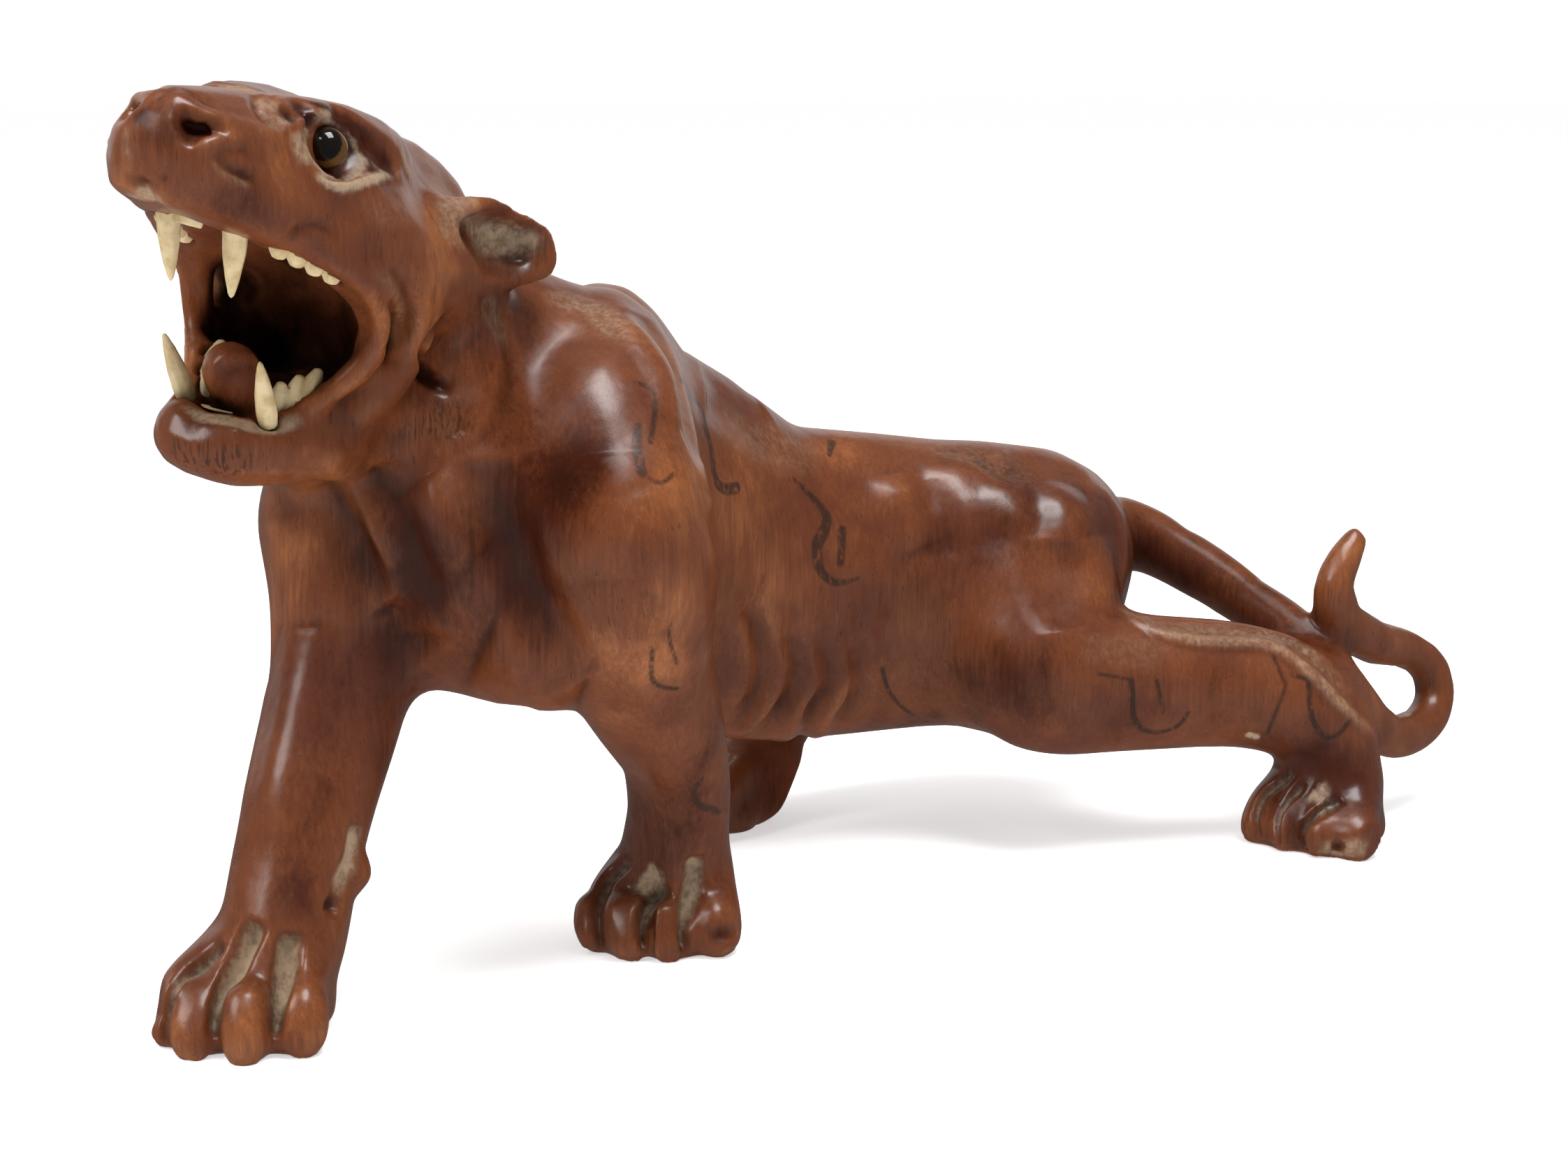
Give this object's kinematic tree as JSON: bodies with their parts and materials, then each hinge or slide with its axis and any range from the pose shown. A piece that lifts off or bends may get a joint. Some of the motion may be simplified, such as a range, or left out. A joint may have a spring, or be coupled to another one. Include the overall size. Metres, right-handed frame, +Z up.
{
  "type": "carved wooden tiger",
  "caption": "Carved wooden tiger crouching with its mouth wide open, inset glass eyes and bone teeth, standing on its paws.",
  "frame": {"origin": "middle of the bounding box's base, on the surface that the paws stand on", "axes": "+Z up, -X the way the tiger walks, +X its tail, -Y its left side, to which it turns its head"},
  "size_m": [0.331, 0.1304, 0.1704],
  "materials": {
    "carved_wood": "polished reddish brown hardwood, oiled, with burnt stripes and dust in the deep cuts",
    "bone": "carved bone, silky, a little yellowed at the roots",
    "eye_glass": "solid dark amber glass, glossy"
  },
  "bodies": {
    "root": {"tiger": "carved_wood", "left_eye": "eye_glass", "right_eye": "eye_glass", "left_upper_canine": "bone", "right_upper_canine": "bone", "left_lower_canine": "bone", "right_lower_canine": "bone", "left_upper_cheek_teeth": "bone", "right_upper_cheek_teeth": "bone", "left_lower_cheek_teeth": "bone", "right_lower_cheek_teeth": "bone", "upper_front_slip": "bone", "lower_front_slip": "bone"}
  },
  "joints": []
}
